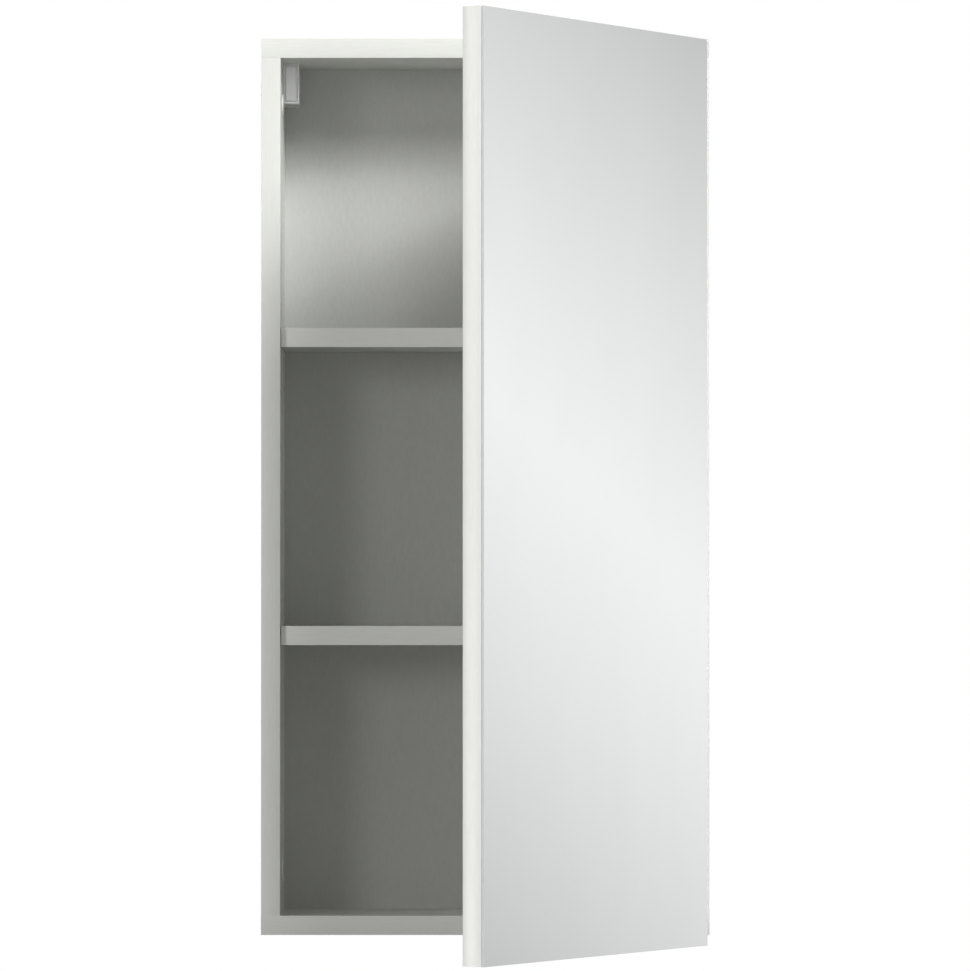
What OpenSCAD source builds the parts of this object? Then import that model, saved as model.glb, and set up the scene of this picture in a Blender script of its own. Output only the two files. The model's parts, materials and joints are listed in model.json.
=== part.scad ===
// Mirror cabinet: a shallow wall cabinet with one mirrored door on two concealed cup hinges.
// Frame: X to the right, Y towards the wall, Z up. The wall is the plane Y = 0, the carcass
// starts at Z = 0 and is centred on X = 0. The door is drawn shut and turned to its rest angle.

/* [Carcass] */
// Overall width of the carcass
cab_w = 350; // [250:5:600]
// Overall height of the carcass
cab_h = 700; // [560:5:1000]
// Overall depth of the carcass, wall to front edge
cab_d = 130; // [120:1:220]
// Thickness of the carcass boards
board_t = 15; // [14:0.5:19]
// Thickness of the edge strips
edge_t = 1; // [0.5:0.1:2]
// Thickness of the back panel
back_t = 3; // [2.5:0.5:5]
// Hollow behind the back panel, for the wall plates
back_recess = 12.7; // [12:0.1:20]
// Depth of the back panel's grooves
groove_d = 7; // [4:0.5:9]

/* [Shelves] */
// Thickness of the shelf boards
shelf_t = 15; // [12:0.5:19]
// Underside of the lower shelf
shelf_low_z = 226; // [200:1:240]
// Underside of the upper shelf
shelf_high_z = 459; // [400:1:480]
// How far the shelf fronts stand back from the carcass front
shelf_inset = 3; // [1:0.5:20]
// Radius of the shelf pins
pin_r = 2.5; // [2:0.25:3]
// Pitch of the pin holes
pin_pitch = 32; // [25:1:40]

/* [Door] */
// Reveal at each side of the door
door_reveal = 1.5; // [0.5:0.25:3]
// Distance from the carcass top to the door top
door_drop = 1.5; // [0:0.25:4]
// Finger grip: how far the door hangs below the carcass
door_grip = 7.5; // [0:0.5:20]
// Gap between the shut door and the carcass front
door_gap = 2; // [1.5:0.1:4]
// Thickness of the door board
door_t = 16; // [14:0.5:19]
// Thickness of the mirror glass
glass_t = 2; // [2:0.5:5]
// Thickness of the adhesive film behind the mirror
film_t = 0.2; // [0.1:0.1:0.6]
// Angle at which the door stands at rest
door_open = 60; // [0:0.5:100]

/* [Hinges] */
// Height of the lower hinge, and depth of the upper one below the carcass top
hinge_inset = 100; // [70:1:140]
// Radius of the hinge cup
cup_r = 17.5; // [17.5:0.5:18.5]
// Depth of the hinge cup
cup_d = 11.5; // [11:0.5:13]
// Board left between the cup and the door's edge
cup_margin = 4; // [3:0.5:7]
// Radius of the linkage pivot pins
pivot_r = 1.4; // [1.2:0.1:1.6]

/* [Wall hanging] */
// Width of a hanger housing
hanger_w = 13; // [13:0.5:18]
// Height of a hanger housing
hanger_h = 31.5; // [31.5:0.5:50]
// Depth of a hanger housing in front of the back panel
hanger_d = 57; // [45:1:80]
// Distance between the two screw holes of a wall plate
plate_pitch = 32; // [25:1:40]
// Radius of the wall plate's screw holes
plate_hole_r = 2.75; // [2:0.25:3.5]

/* [Hidden] */
$fn = 48;
EPS = 0.01;

// Clearances
loose = 0.5; // shelf ends and the back panel in its grooves
snug = 0.05; // fasteners, pins and dowels in their holes
play = 0.15; // each side of the back panel in its grooves, and covers in their frames
rub = 0.1; // hinge parts against the parts that hold them
overhang = 0.3; // pivot pins past the parts they carry

// Carcass
half_w = cab_w / 2;
inner_x = half_w - board_t;
inner_low = board_t;
inner_high = cab_h - board_t;
panel_front = -cab_d + edge_t;
back_y = [-back_recess - back_t, -back_recess];
back_in = groove_d - loose;
cab_color = "#ecede7";
inside_color = "#b9bbb4";
steel_color = "#aeb2b5";

// Corner joints: a cam fitting between two dowels
dowel_r = 4;
dowel_side = 20; // length of a dowel inside the side panel
dowel_cap = 10; // length of a dowel inside the top or bottom panel
dowel_y = [panel_front + 14, -45];
mid_board = inner_x + board_t / 2;
cam_y = panel_front + 38;
cam_r = 7.5;
cam_depth = 12.5;
cam_end = 34; // from the end of the side panel to the middle of the cam
bolt_r = 3;
bolt_cap = 11; // length of a cam bolt inside the top or bottom panel
cover_r = 8.5;
cover_t = 1;

// Shelves
shelf_x = inner_x - loose;
shelf_front = -cab_d + shelf_inset;
pin_in = 9;
pin_out = 8;
pin_y = [panel_front + 30, back_y[0] - 25];
shelf_list = [shelf_low_z, shelf_high_z];

// Wall hanging
hang_x = [inner_x - hanger_w, inner_x];
hang_y = [back_y[0] - hanger_d, back_y[0]];
hang_z = [inner_high - hanger_h, inner_high];
hang_wall = 1.5;
cover_inset = 0.5;
hook_clear = [2.2, 3.4]; // from the housing's outer faces to the hook, peg heads on the second side
hook_x = [hang_x[0] + hook_clear[0], hang_x[1] - hook_clear[1]];
hook_travel = 5;
hook_block = 6; // how far the hook's block reaches below its bar
hook_nose = 16; // how far its nose reaches below its bar
nose_t = 3;
nose_gap = 0.4; // between the nose and the lip
hook_bar_z = [inner_high - 16.5, inner_high - 9];
block_y = [back_y[0] - 30, back_y[0] - 5];
screw_y = (block_y[0] + block_y[1]) / 2;
screw_x = (hook_x[0] + hook_x[1]) / 2;
screw_r = 2.5;
collar_r = 4;
slot_margin = 2;
peg_r = 5;
peg_in = 11;
peg_neck_r = 3;
peg_y = [back_y[0] - 44, back_y[0] - 14];
peg_z = inner_high - 20;
steel_t = 1.5; // sheet of the wall plates
plate_x = [inner_x - 54, inner_x - 4];
plate_low = inner_high - 73;
plate_step = inner_high - 37.5; // where the plate steps away from the wall
lip_y = -7;
lip_top = hook_bar_z[0] - 0.5;
hole_z = inner_high - 55;

// Door, drawn shut
door_x = half_w - door_reveal;
door_z = [-door_grip, cab_h - door_drop];
door_back = -cab_d - door_gap;
board_front = door_back - door_t;
glass_back = board_front - film_t;
door_front = glass_back - glass_t;
film_inset = 0.5;
bumper_r = 4;
bumper_t = door_gap - 0.4;

// Hinges, in plan from the front corner of the right-hand side: x to the right, y to the wall
hinge_z = [hinge_inset, cab_h - hinge_inset];
corner = [half_w, -cab_d];
cup_rim_x = -door_reveal - cup_margin;
cup_x = cup_rim_x - cup_r;
cup_back = -door_gap;
cup_rim = [cup_rim_x, cup_back]; // the pivots keep their places from here, shut
pivot_a = cup_rim + [-39.5, 11.6]; // arm end of the outer links
pivot_b = cup_rim + [-9.3, -1.7]; // cup end of the outer links, carries the door
pivot_c = cup_rim + [-29.1, -5.4]; // arm end of the inner link
pivot_d = cup_rim + [-11.7, -4.8]; // cup end of the inner link, left open
open_shift = [-0.3, -0.6]; // middle of the open pivot's wander
open_play = 0.8; // radial clearance of the open pivot
outer_ratio = -0.40; // turn of the outer links per degree of door
inner_ratio = -0.64; // turn of the inner links per degree of door
cup_wall = 1;
cup_notch_x = 4.5; // from the cup's rim to the notch that the links swing into
cup_notch_d = 0.8; // depth of that notch below the rim
flange_t = 1;
flange_r = cup_r + 0.9;
flange_size = [20, 60]; // across and along the door
flange_mid = cup_x - 9.5;
cup_screw_z = 22.5;
cup_screw_r = 1.75;
block_half = 3.9; // half width of the inner link
arm_half = [4.2, 5.5]; // inner and outer faces of the arm's cheeks, from the middle
link_half = [5.9, 7.2]; // faces of the outer links
cheek_half = [7.6, 9.6]; // faces of the cup's cheeks
eye_r = 2.3;
open_eye_r = 3.2;
horn_eye_r = 2.8;
nose_eye_r = 2.6;
arm_rest = cup_rim_x - 20.5; // top of the mounting plate's rail, whose height makes up for the board
arm_back_x = arm_rest - steel_t;
arm_edge = 2.2; // from a pivot to the straight edges that meet its eye
arm_side_x = arm_back_x + 7;
arm_screw_r = 2;
arm_screw_y = [30, 52];
arm_tail = 66;
plate_y = 37;
plate_wing = 24;
plate_wing_t = 2.5;
plate_screw_r = 2.5;
plate_screw_in = 11;
plate_screw_z = 16;
rail_y = [22, 62];

// Plane vector v turned by a degrees
function turn(v, a) = [v.x * cos(a) - v.y * sin(a), v.x * sin(a) + v.y * cos(a)];

// Middle height of the pins that carry the shelf whose underside is at z
function pin_z(z) = z + pin_r;

// Cup end of the outer links at rest
rest_b = pivot_a + turn(pivot_b - pivot_a, outer_ratio * door_open);

// ---- Helpers ----

// Box given by its low and high ends on each axis
module span(x, y, z) {
    translate([x[0], y[0], z[0]])
        cube([x[1] - x[0], y[1] - y[0], z[1] - z[0]]);
}

// Cylinder along X from x[0] to x[1]
module rod_x(r, x, y, z) {
    translate([x[0], y, z])
        rotate([0, 90, 0])
            cylinder(r = r, h = x[1] - x[0]);
}

// Cylinder along Y from y[0] to y[1]
module rod_y(r, x, y, z) {
    translate([x, y[1], z])
        rotate([90, 0, 0])
            cylinder(r = r, h = y[1] - y[0]);
}

// Cylinder along Z from z[0] to z[1]
module rod_z(r, x, y, z) {
    translate([x, y, z[0]])
        cylinder(r = r, h = z[1] - z[0]);
}

// Children on the left (side 0) or the right (side 1)
module on_side(side) {
    mirror([1 - side, 0, 0])
        children();
}

// Children on both sides
module both_sides() {
    for (side = [0, 1])
        on_side(side)
            children();
}

// Children at the bottom end and, turned over, at the top end
module both_ends() {
    children();
    translate([0, 0, cab_h])
        mirror([0, 0, 1])
            children();
}

// Flat bar with round ends from p to q
module bar2d(p, q, r) {
    d = q - p;
    for (end = [p, q])
        translate(end)
            circle(r = r);
    translate(p)
        rotate(atan2(d.y, d.x))
            translate([0, -r])
                square([norm(d), 2 * r]);
}

// Plan outline raised between z[0] and z[1]
module raised(z) {
    translate([0, 0, z[0]])
        linear_extrude(z[1] - z[0])
            children();
}

// The same outline above and below the hinge's middle, between faces h[0] and h[1]
module paired(h) {
    raised([h[0], h[1]])
        children();
    raised([-h[1], -h[0]])
        children();
}

// Children at the hinge plan's origin, at hinge number i
module at_hinge(i) {
    translate([corner.x, corner.y, hinge_z[i]])
        children();
}

// Children of the shut door turned to the rest angle
module at_rest() {
    turn_centre = corner + rest_b;
    translate([turn_centre.x, turn_centre.y, 0])
        rotate(door_open)
            translate(-[corner.x + pivot_b.x, corner.y + pivot_b.y, 0])
                children();
}

// ---- Carcass ----

// Bores in a side panel's ends and inner face for the corner joints, bottom end
module joint_bores() {
    for (y = dowel_y)
        rod_z(dowel_r + snug, mid_board, y, [inner_low - EPS, inner_low + dowel_side + loose]);
    rod_z(dowel_r, mid_board, cam_y, [inner_low - EPS, inner_low + cam_end]);
    rod_x(cam_r + snug, [inner_x - EPS, inner_x + cam_depth], cam_y, inner_low + cam_end);
}

// Rows of holes for the shelf pins
module pin_holes() {
    for (shelf = shelf_list, row = [-1, 0, 1], y = pin_y)
        rod_x(pin_r + snug, [inner_x - EPS, inner_x + pin_in + loose], y,
              pin_z(shelf) + row * pin_pitch);
}

// A side panel with what both sides share
module side_blank() {
    difference() {
        span([inner_x, half_w], [panel_front, 0], [inner_low, inner_high]);
        span([inner_x - EPS, inner_x + groove_d], [back_y[0] - play, back_y[1] + play], [0, cab_h]);
        both_ends()
            joint_bores();
        pin_holes();
        for (y = peg_y)
            rod_x(peg_r, [inner_x - EPS, inner_x + peg_in + loose], y, peg_z);
    }
}

module side_panel_left() {
    color(cab_color)
        on_side(0)
            side_blank();
}

module side_panel_right() {
    color(cab_color)
        difference() {
            side_blank();
            for (i = [0, 1], end = [-1, 1])
                at_hinge(i)
                    rod_x(plate_screw_r + snug, [-board_t - EPS, -board_t + plate_screw_in + loose],
                          plate_y, end * plate_screw_z);
        }
}

// The bottom panel; the top panel is the same turned over
module end_blank() {
    difference() {
        span([-half_w, half_w], [panel_front, 0], [0, board_t]);
        span([-inner_x - groove_d, inner_x + groove_d], [back_y[0] - play, back_y[1] + play],
             [board_t - groove_d, board_t + EPS]);
        both_sides() {
            for (y = dowel_y)
                rod_z(dowel_r + snug, mid_board, y, [board_t - dowel_cap - loose, board_t + EPS]);
            rod_z(bolt_r + snug, mid_board, cam_y, [board_t - bolt_cap - loose, board_t + EPS]);
        }
    }
}

module bottom_panel() {
    color(cab_color)
        end_blank();
}

module top_panel() {
    color(cab_color)
        translate([0, 0, cab_h])
            mirror([0, 0, 1])
                end_blank();
}

module back_panel() {
    color(inside_color)
        difference() {
            span([-inner_x - back_in, inner_x + back_in], back_y,
                 [inner_low - back_in, inner_high + back_in]);
            both_sides()
                span([hook_x[0] - slot_margin, hook_x[1] + slot_margin],
                     [back_y[0] - EPS, back_y[1] + EPS],
                     [hook_bar_z[0] - hook_travel - slot_margin,
                      min(hook_bar_z[1] + hook_travel + slot_margin, inner_high)]);
        }
}

module edge_strip_side() {
    color(cab_color)
        span([inner_x, half_w], [-cab_d, panel_front], [inner_low, inner_high]);
}

module edge_strip_left() {
    on_side(0)
        edge_strip_side();
}

module edge_strip_right() {
    edge_strip_side();
}

module edge_strip_bottom() {
    color(cab_color)
        span([-half_w, half_w], [-cab_d, panel_front], [0, board_t]);
}

module edge_strip_top() {
    color(cab_color)
        span([-half_w, half_w], [-cab_d, panel_front], [inner_high, cab_h]);
}

// ---- Shelves ----

// A shelf board, slotted underneath at its ends so that the pins don't show
module shelf(z) {
    color(inside_color)
        difference() {
            span([-shelf_x, shelf_x], [shelf_front + edge_t, back_y[0] - loose], [z, z + shelf_t]);
            both_sides()
                for (y = pin_y)
                    span([inner_x - pin_out - loose, shelf_x + EPS],
                         [y - pin_r - snug, y + pin_r + snug], [z - EPS, pin_z(z) + pin_r]);
        }
}

module shelf_strip(z) {
    color(cab_color)
        span([-shelf_x, shelf_x], [shelf_front, shelf_front + edge_t], [z, z + shelf_t]);
}

module shelf_lower() {
    shelf(shelf_low_z);
}

module shelf_upper() {
    shelf(shelf_high_z);
}

module shelf_strip_lower() {
    shelf_strip(shelf_low_z);
}

module shelf_strip_upper() {
    shelf_strip(shelf_high_z);
}

// Steel pins with a thin stop ring at the panel's face
module shelf_pins() {
    ring_t = loose * 0.8;
    ring_rim = 1;
    color(steel_color)
        both_sides()
            for (shelf = shelf_list, y = pin_y) {
                rod_x(pin_r, [inner_x - pin_out, inner_x + pin_in], y, pin_z(shelf));
                rod_x(pin_r + ring_rim, [inner_x - ring_t, inner_x], y, pin_z(shelf));
            }
}

// ---- Corner fittings ----

module dowels() {
    color("#c9a26b")
        both_sides()
            both_ends()
                for (y = dowel_y)
                    rod_z(dowel_r, mid_board, y, [inner_low - dowel_cap, inner_low + dowel_side]);
}

// Bolts screwed into the top and bottom panels, each with a neck and a head inside its cam
module cam_bolts() {
    head = 3;
    neck = 4;
    color(steel_color)
        both_sides()
            both_ends() {
                rod_z(bolt_r, mid_board, cam_y,
                      [inner_low - bolt_cap, inner_low + cam_end - head - neck]);
                rod_z(bolt_r - 1.2, mid_board, cam_y,
                      [inner_low + cam_end - head - neck, inner_low + cam_end - head]);
                rod_z(bolt_r, mid_board, cam_y, [inner_low + cam_end - head, inner_low + cam_end]);
            }
}

// Round cams that pull the bolts tight, with a cross slot on the face
module cam_locks() {
    slot = [1.6, 8];
    color(steel_color)
        both_sides()
            both_ends()
                difference() {
                    rod_x(cam_r, [inner_x, inner_x + cam_depth - 0.2], cam_y, inner_low + cam_end);
                    rod_z(bolt_r + 0.6, mid_board, cam_y,
                          [inner_low + cam_end - cam_r - 1, inner_low + cam_end + 1]);
                    for (k = [0, 1])
                        translate([inner_x, cam_y, inner_low + cam_end])
                            rotate([90 * k, 0, 0])
                                cube([3, slot[0], slot[1]], center = true);
                }
}

// Plastic caps over the cams
module cam_covers() {
    color(cab_color)
        both_sides()
            both_ends()
                rod_x(cover_r, [inner_x - cover_t, inner_x], cam_y, inner_low + cam_end);
}

// ---- Wall hanging ----

// Plastic housing in the upper rear corner, open to the back and at the front
module hanger_housing(side) {
    color("#d6d7d3")
        on_side(side)
            difference() {
                span(hang_x, hang_y, hang_z);
                span([hang_x[0] + hang_wall, hang_x[1] - hang_wall],
                     [hang_y[0] - EPS, hang_y[1] + EPS],
                     [hang_z[0] + hang_wall, hang_z[1] - hang_wall]);
                for (y = peg_y)
                    rod_x(peg_neck_r + snug, [hang_x[1] - hang_wall - EPS, hang_x[1] + EPS], y, peg_z);
                rod_z(screw_r + snug, screw_x, screw_y, [hang_z[0] - EPS, hang_z[0] + hang_wall + EPS]);
            }
}

module hanger_housing_left() {
    hanger_housing(0);
}

module hanger_housing_right() {
    hanger_housing(1);
}

// Front cover, set back inside the housing's rim
module hanger_cover(side) {
    plate_t = 1.2;
    edge = hang_wall + play;
    color("#c7c8c4")
        on_side(side)
            span([hang_x[0] + edge, hang_x[1] - edge],
                 [hang_y[0] + cover_inset, hang_y[0] + cover_inset + plate_t],
                 [hang_z[0] + edge, hang_z[1] - edge]);
}

module hanger_cover_left() {
    hanger_cover(0);
}

module hanger_cover_right() {
    hanger_cover(1);
}

// Pegs that fix the housings to the side panels
module hanger_pegs() {
    head_r = 4.5;
    head_t = 1.2;
    wall_x = hang_x[1] - hang_wall;
    color("#c7c8c4")
        both_sides()
            for (y = peg_y) {
                rod_x(peg_r - snug, [inner_x, inner_x + peg_in], y, peg_z);
                rod_x(peg_neck_r, [wall_x - head_t, inner_x + peg_in], y, peg_z);
                rod_x(head_r, [wall_x - head_t, wall_x], y, peg_z);
            }
}

// Steel hook: a block on the height screw, a bar through the back and a nose behind the lip
module hanger_hook(side) {
    nose_y = [lip_y + nose_gap, lip_y + nose_gap + nose_t];
    color(steel_color)
        on_side(side)
            difference() {
                union() {
                    span(hook_x, block_y, [hook_bar_z[0] - hook_block, hook_bar_z[1]]);
                    span(hook_x, [block_y[1] - EPS, nose_y[1]], hook_bar_z);
                    span(hook_x, nose_y, [hook_bar_z[0] - hook_nose, hook_bar_z[1]]);
                }
                rod_z(screw_r + snug, screw_x, screw_y, [hang_z[0], hang_z[1]]);
            }
}

module hanger_hook_left() {
    hanger_hook(0);
}

module hanger_hook_right() {
    hanger_hook(1);
}

// Upright screw that raises the hook, turned from below
module height_screw(side) {
    end_gap = 0.2;
    collar_z = hang_z[0] + hang_wall + end_gap;
    collar_t = 2;
    socket_r = 1.5;
    socket_d = 3;
    color(steel_color)
        on_side(side)
            difference() {
                union() {
                    rod_z(screw_r, screw_x, screw_y, [hang_z[0] + end_gap, hang_z[1] - hang_wall - end_gap]);
                    rod_z(collar_r, screw_x, screw_y, [collar_z, collar_z + collar_t]);
                }
                translate([screw_x, screw_y, hang_z[0] - EPS])
                    cylinder(r = socket_r, h = socket_d, $fn = 6);
            }
}

module height_screw_left() {
    height_screw(0);
}

module height_screw_right() {
    height_screw(1);
}

// Sheet plate on the wall with two screw holes and a lip standing off the wall
module wall_plate(side) {
    color(steel_color)
        on_side(side)
            difference() {
                union() {
                    span(plate_x, [-steel_t, 0], [plate_low, plate_step + steel_t]);
                    span(plate_x, [lip_y - steel_t, 0], [plate_step, plate_step + steel_t]);
                    span(plate_x, [lip_y - steel_t, lip_y], [plate_step, lip_top]);
                }
                for (k = [-0.5, 0.5])
                    rod_y(plate_hole_r, (plate_x[0] + plate_x[1]) / 2 + k * plate_pitch,
                          [-steel_t - EPS, EPS], hole_z);
            }
}

module wall_plate_left() {
    wall_plate(0);
}

module wall_plate_right() {
    wall_plate(1);
}

// ---- Hinges: fixed half ----

// Cross-shaped mounting plate: two wings and a rail for the arm
module hinge_plate(i) {
    wing_half_y = 6;
    color(steel_color)
        at_hinge(i)
            difference() {
                union() {
                    span([-board_t - plate_wing_t, -board_t],
                         [plate_y - wing_half_y, plate_y + wing_half_y],
                         [-plate_wing, plate_wing]);
                    span([arm_rest, -board_t], rail_y, [-arm_half[0] + rub, arm_half[0] - rub]);
                }
                for (end = [-1, 1])
                    rod_x(plate_screw_r + snug, [-board_t - plate_wing_t - EPS, -board_t + EPS],
                          plate_y, end * plate_screw_z);
                for (y = arm_screw_y)
                    rod_x(arm_screw_r + snug, [arm_rest - EPS, arm_rest + 8], y, 0);
            }
}

module hinge_plate_lower() {
    hinge_plate(0);
}

module hinge_plate_upper() {
    hinge_plate(1);
}

module hinge_plate_screws() {
    head_r = 4;
    head_t = 1.8;
    face = -board_t - plate_wing_t;
    color(steel_color)
        for (i = [0, 1], end = [-1, 1])
            at_hinge(i)
                difference() {
                    union() {
                        rod_x(plate_screw_r, [face, -board_t + plate_screw_in], plate_y,
                              end * plate_screw_z);
                        rod_x(head_r, [face - head_t, face], plate_y, end * plate_screw_z);
                    }
                    translate([face - head_t, plate_y, end * plate_screw_z])
                        for (k = [0, 1])
                            rotate([90 * k, 0, 0])
                                cube([2, 1, 4.6], center = true);
                }
}

// Outline of the arm's cheeks: the nose to pivot C, the horn to pivot A and the long back
module arm_outline() {
    translate(pivot_c)
        circle(r = nose_eye_r);
    translate(pivot_a)
        circle(r = horn_eye_r);
    polygon([
        pivot_c + [arm_edge, 0],
        [pivot_c.x + arm_edge, rail_y[0] - 12],
        [arm_side_x, rail_y[0] + 2],
        [arm_side_x, arm_tail],
        [arm_back_x, arm_tail],
        [arm_back_x, rail_y[0] + 10],
        pivot_a + [-0.5, arm_edge],
        pivot_a + [-0.5, -arm_edge],
        [pivot_c.x - arm_edge, pivot_a.y - 6],
        pivot_c - [arm_edge, 0],
    ]);
}

// Pressed steel arm: two cheeks and a back that lies on the mounting plate's rail
module hinge_arm(i) {
    color(steel_color)
        at_hinge(i)
            difference() {
                union() {
                    paired(arm_half)
                        arm_outline();
                    span([arm_back_x, arm_rest], [rail_y[0], arm_tail],
                         [-arm_half[0] - 0.5, arm_half[0] + 0.5]);
                }
                for (p = [pivot_a, pivot_c])
                    rod_z(pivot_r + snug, p.x, p.y, [-arm_half[1] - 1, arm_half[1] + 1]);
                for (y = arm_screw_y)
                    rod_x(arm_screw_r + snug, [arm_back_x - EPS, arm_rest + EPS], y, 0);
            }
}

module hinge_arm_lower() {
    hinge_arm(0);
}

module hinge_arm_upper() {
    hinge_arm(1);
}

// Clamping and adjusting screws through each arm's back
module hinge_arm_screws() {
    head_r = 3.4;
    head_t = 1.6;
    color("#8f9396")
        for (i = [0, 1], y = arm_screw_y)
            at_hinge(i)
                difference() {
                    union() {
                        rod_x(arm_screw_r, [arm_back_x, arm_rest + 7], y, 0);
                        rod_x(head_r, [arm_back_x - head_t, arm_back_x], y, 0);
                    }
                    translate([arm_back_x - head_t, y, 0])
                        for (k = [0, 1])
                            rotate([90 * k, 0, 0])
                                cube([1.8, 0.9, 4], center = true);
                }
}

module hinge_arm_pins() {
    color("#8f9396")
        for (i = [0, 1])
            at_hinge(i) {
                rod_z(pivot_r, pivot_a.x, pivot_a.y, [-link_half[1] - overhang, link_half[1] + overhang]);
                rod_z(pivot_r, pivot_c.x, pivot_c.y, [-arm_half[1], arm_half[1]]);
            }
}

// ---- Hinges: links, drawn at rest ----

// Pair of plates from the arm to the cup
module outer_link(i) {
    color(steel_color)
        at_hinge(i)
            difference() {
                paired(link_half) {
                    bar2d(pivot_a, rest_b, eye_r);
                    translate(pivot_a)
                        circle(r = horn_eye_r);
                }
                for (p = [pivot_a, rest_b])
                    rod_z(pivot_r + snug, p.x, p.y, [-link_half[1] - 1, link_half[1] + 1]);
            }
}

module outer_link_lower() {
    outer_link(0);
}

module outer_link_upper() {
    outer_link(1);
}

// Solid link in the middle, with a wide hole at its open end
module inner_link(i) {
    shut_eye = pivot_d + open_shift;
    rest_eye = pivot_c + turn(shut_eye - pivot_c, inner_ratio * door_open);
    color(steel_color)
        at_hinge(i)
            difference() {
                raised([-block_half, block_half]) {
                    bar2d(pivot_c, rest_eye, eye_r);
                    translate(rest_eye)
                        circle(r = open_eye_r);
                }
                rod_z(pivot_r + snug, pivot_c.x, pivot_c.y, [-block_half - 1, block_half + 1]);
                rod_z(pivot_r + open_play, rest_eye.x, rest_eye.y, [-block_half - 1, block_half + 1]);
            }
}

module inner_link_lower() {
    inner_link(0);
}

module inner_link_upper() {
    inner_link(1);
}

// ---- Hinges: cup half, on the door ----

// Flange outline, seen from the back of the door
module flange_outline() {
    corner_r = 4;
    half = flange_size / 2 - [corner_r, corner_r];
    circle(r = flange_r);
    translate([flange_mid - cup_x, 0]) {
        for (sx = [-1, 1], sy = [-1, 1])
            translate([sx * half.x, sy * half.y])
                circle(r = corner_r);
        square([flange_size.x, 2 * half.y], center = true);
        square([2 * half.x, flange_size.y], center = true);
    }
}

// Steel cup with its flange and the two cheeks that hold the pins
module hinge_cup(i) {
    floor_y = cup_back - cup_d;
    color(steel_color)
        at_rest()
            at_hinge(i)
                difference() {
                    union() {
                        difference() {
                            union() {
                                rod_y(cup_r, cup_x, [floor_y, cup_back], 0);
                                translate([cup_x, cup_back + flange_t, 0])
                                    rotate([90, 0, 0])
                                        linear_extrude(flange_t)
                                            flange_outline();
                            }
                            rod_y(cup_r - cup_wall, cup_x, [floor_y + cup_wall, 0], 0);
                        }
                        intersection() {
                            rod_y(cup_r - EPS, cup_x, [floor_y + EPS, cup_back], 0);
                            for (s = [-1, 1])
                                span([pivot_d.x - 4, 0], [floor_y, 0],
                                     s > 0 ? cheek_half : [-cheek_half[1], -cheek_half[0]]);
                        }
                    }
                    span([cup_rim_x - cup_notch_x, 0], [cup_back - cup_notch_d, 0],
                         [-cheek_half[0], cheek_half[0]]);
                    for (p = [pivot_b, pivot_d])
                        rod_z(pivot_r + snug, p.x, p.y, [-cheek_half[1] - EPS, cheek_half[1] + EPS]);
                    for (end = [-1, 1])
                        rod_y(cup_screw_r + snug, flange_mid, [cup_back - EPS, 0], end * cup_screw_z);
                }
}

module hinge_cup_lower() {
    hinge_cup(0);
}

module hinge_cup_upper() {
    hinge_cup(1);
}

module hinge_cup_screws() {
    head_r = 3.4;
    head_t = 1.2;
    length = 11;
    face = cup_back + flange_t;
    color("#8f9396")
        at_rest()
            for (i = [0, 1], end = [-1, 1])
                at_hinge(i)
                    difference() {
                        union() {
                            rod_y(cup_screw_r, flange_mid, [face - length, face], end * cup_screw_z);
                            rod_y(head_r, flange_mid, [face, face + head_t], end * cup_screw_z);
                        }
                        translate([flange_mid, face + head_t, end * cup_screw_z])
                            for (k = [0, 1])
                                rotate([0, 90 * k, 0])
                                    cube([0.9, 1.4, 4], center = true);
                    }
}

// Stub pins for the outer links and one through pin for the inner link, in each cup
module hinge_cup_pins() {
    color("#8f9396")
        at_rest()
            for (i = [0, 1])
                at_hinge(i) {
                    for (s = [-1, 1])
                        rod_z(pivot_r, pivot_b.x, pivot_b.y,
                              s > 0 ? [link_half[0], cheek_half[1]] : [-cheek_half[1], -link_half[0]]);
                    rod_z(pivot_r, pivot_d.x, pivot_d.y, [-cheek_half[1], cheek_half[1]]);
                }
}

// ---- Door ----

module door_board() {
    color(cab_color)
        at_rest()
            difference() {
                span([-door_x + edge_t, door_x - edge_t], [board_front, door_back],
                     [door_z[0] + edge_t, door_z[1] - edge_t]);
                for (i = [0, 1])
                    at_hinge(i) {
                        rod_y(cup_r + rub, cup_x, [cup_back - cup_d - rub, cup_back + EPS], 0);
                        for (end = [-1, 1])
                            rod_y(cup_screw_r + snug, flange_mid, [cup_back - 11, cup_back + EPS],
                                  end * cup_screw_z);
                    }
            }
}

module door_strip_left() {
    color(cab_color)
        at_rest()
            span([-door_x, -door_x + edge_t], [board_front, door_back], door_z);
}

module door_strip_right() {
    color(cab_color)
        at_rest()
            span([door_x - edge_t, door_x], [board_front, door_back], door_z);
}

module door_strip_bottom() {
    color(cab_color)
        at_rest()
            span([-door_x + edge_t, door_x - edge_t], [board_front, door_back],
                 [door_z[0], door_z[0] + edge_t]);
}

module door_strip_top() {
    color(cab_color)
        at_rest()
            span([-door_x + edge_t, door_x - edge_t], [board_front, door_back],
                 [door_z[1] - edge_t, door_z[1]]);
}

// Adhesive film that holds the mirror on the board
module mirror_film() {
    color("#f4f4f0")
        at_rest()
            span([-door_x + film_inset, door_x - film_inset], [glass_back, board_front],
                 [door_z[0] + film_inset, door_z[1] - film_inset]);
}

module mirror_glass() {
    color("#dfe3e4")
        at_rest()
            span([-door_x, door_x], [door_front, glass_back], door_z);
}

// Soft pads that the door shuts against, near its free edge
module bumpers() {
    inset = 30;
    color("#e6e6e2")
        at_rest()
            for (z = [inset, cab_h - inset])
                rod_y(bumper_r, -inner_x - board_t / 2, [door_back, door_back + bumper_t], z);
}

// ---- Model ----

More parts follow.
